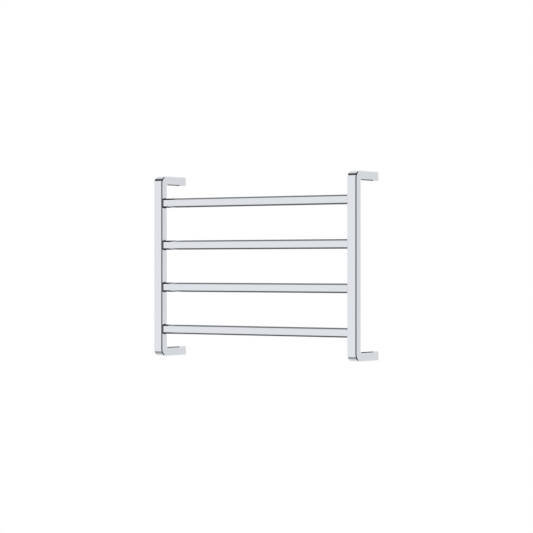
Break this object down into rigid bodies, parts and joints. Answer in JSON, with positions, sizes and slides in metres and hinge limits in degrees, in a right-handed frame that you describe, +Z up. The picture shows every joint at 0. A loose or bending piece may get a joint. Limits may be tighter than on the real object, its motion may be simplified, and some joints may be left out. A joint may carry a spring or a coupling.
{
  "type": "towel warmer rack",
  "caption": "Wall-hung heated towel rack: chromed square-edged bars between two uprights that bend back to the wall on feet.",
  "frame": {"origin": "centre of the four wall screw holes, on the wall plane", "axes": "+X along the bars, to the right seen from the front; +Y into the wall; +Z up"},
  "size_m": [0.6, 0.1, 0.45],
  "materials": {
    "upright_tube": "mirror polished, chrome plated",
    "bar_tube": "mirror polished, chrome plated",
    "foot_casting": "die cast, chrome plated",
    "screw_steel": "stainless, as turned",
    "guard_silicone": "matte silicone",
    "cable_silicone": "matte silicone jacket",
    "seal_silicone": "matte silicone",
    "joint_sleeve": "shrunk sleeve",
    "brown_insulation": "extruded",
    "blue_insulation": "extruded",
    "earth_insulation": "extruded, green with a yellow stripe",
    "block_moulding": "moulded",
    "barrel_brass": "turned",
    "limiter_case": "drawn can",
    "tab_brass": "stamped",
    "grommet_rubber": "moulded"
  },
  "bodies": {
    "root": {"left_upright": "upright_tube", "right_upright": "upright_tube", "crossbar_1": "bar_tube", "crossbar_2": "bar_tube", "crossbar_3": "bar_tube", "crossbar_4": "bar_tube", "wall_foot_top_left": "foot_casting", "wall_foot_top_right": "foot_casting", "wall_foot_bottom_left": "foot_casting", "wall_foot_bottom_right": "foot_casting", "grub_screws": "screw_steel", "guard_sleeve_left_1": "guard_silicone", "guard_sleeve_left_2": "guard_silicone", "guard_sleeve_left_3": "guard_silicone", "guard_sleeve_left_4": "guard_silicone", "guard_sleeve_right_1": "guard_silicone", "guard_sleeve_right_2": "guard_silicone", "guard_sleeve_right_3": "guard_silicone", "guard_sleeve_right_4": "guard_silicone", "heating_cable": "cable_silicone", "cable_end_seal": "seal_silicone", "cold_joint": "joint_sleeve", "live_lead": "brown_insulation", "limiter_lead": "brown_insulation", "neutral_lead": "blue_insulation", "earth_lead": "earth_insulation", "terminal_block": "block_moulding", "terminal_barrels": "barrel_brass", "terminal_screws": "screw_steel", "thermal_limiter": "limiter_case", "earth_tab": "tab_brass", "inlet_grommet": "grommet_rubber"}
  },
  "joints": []
}
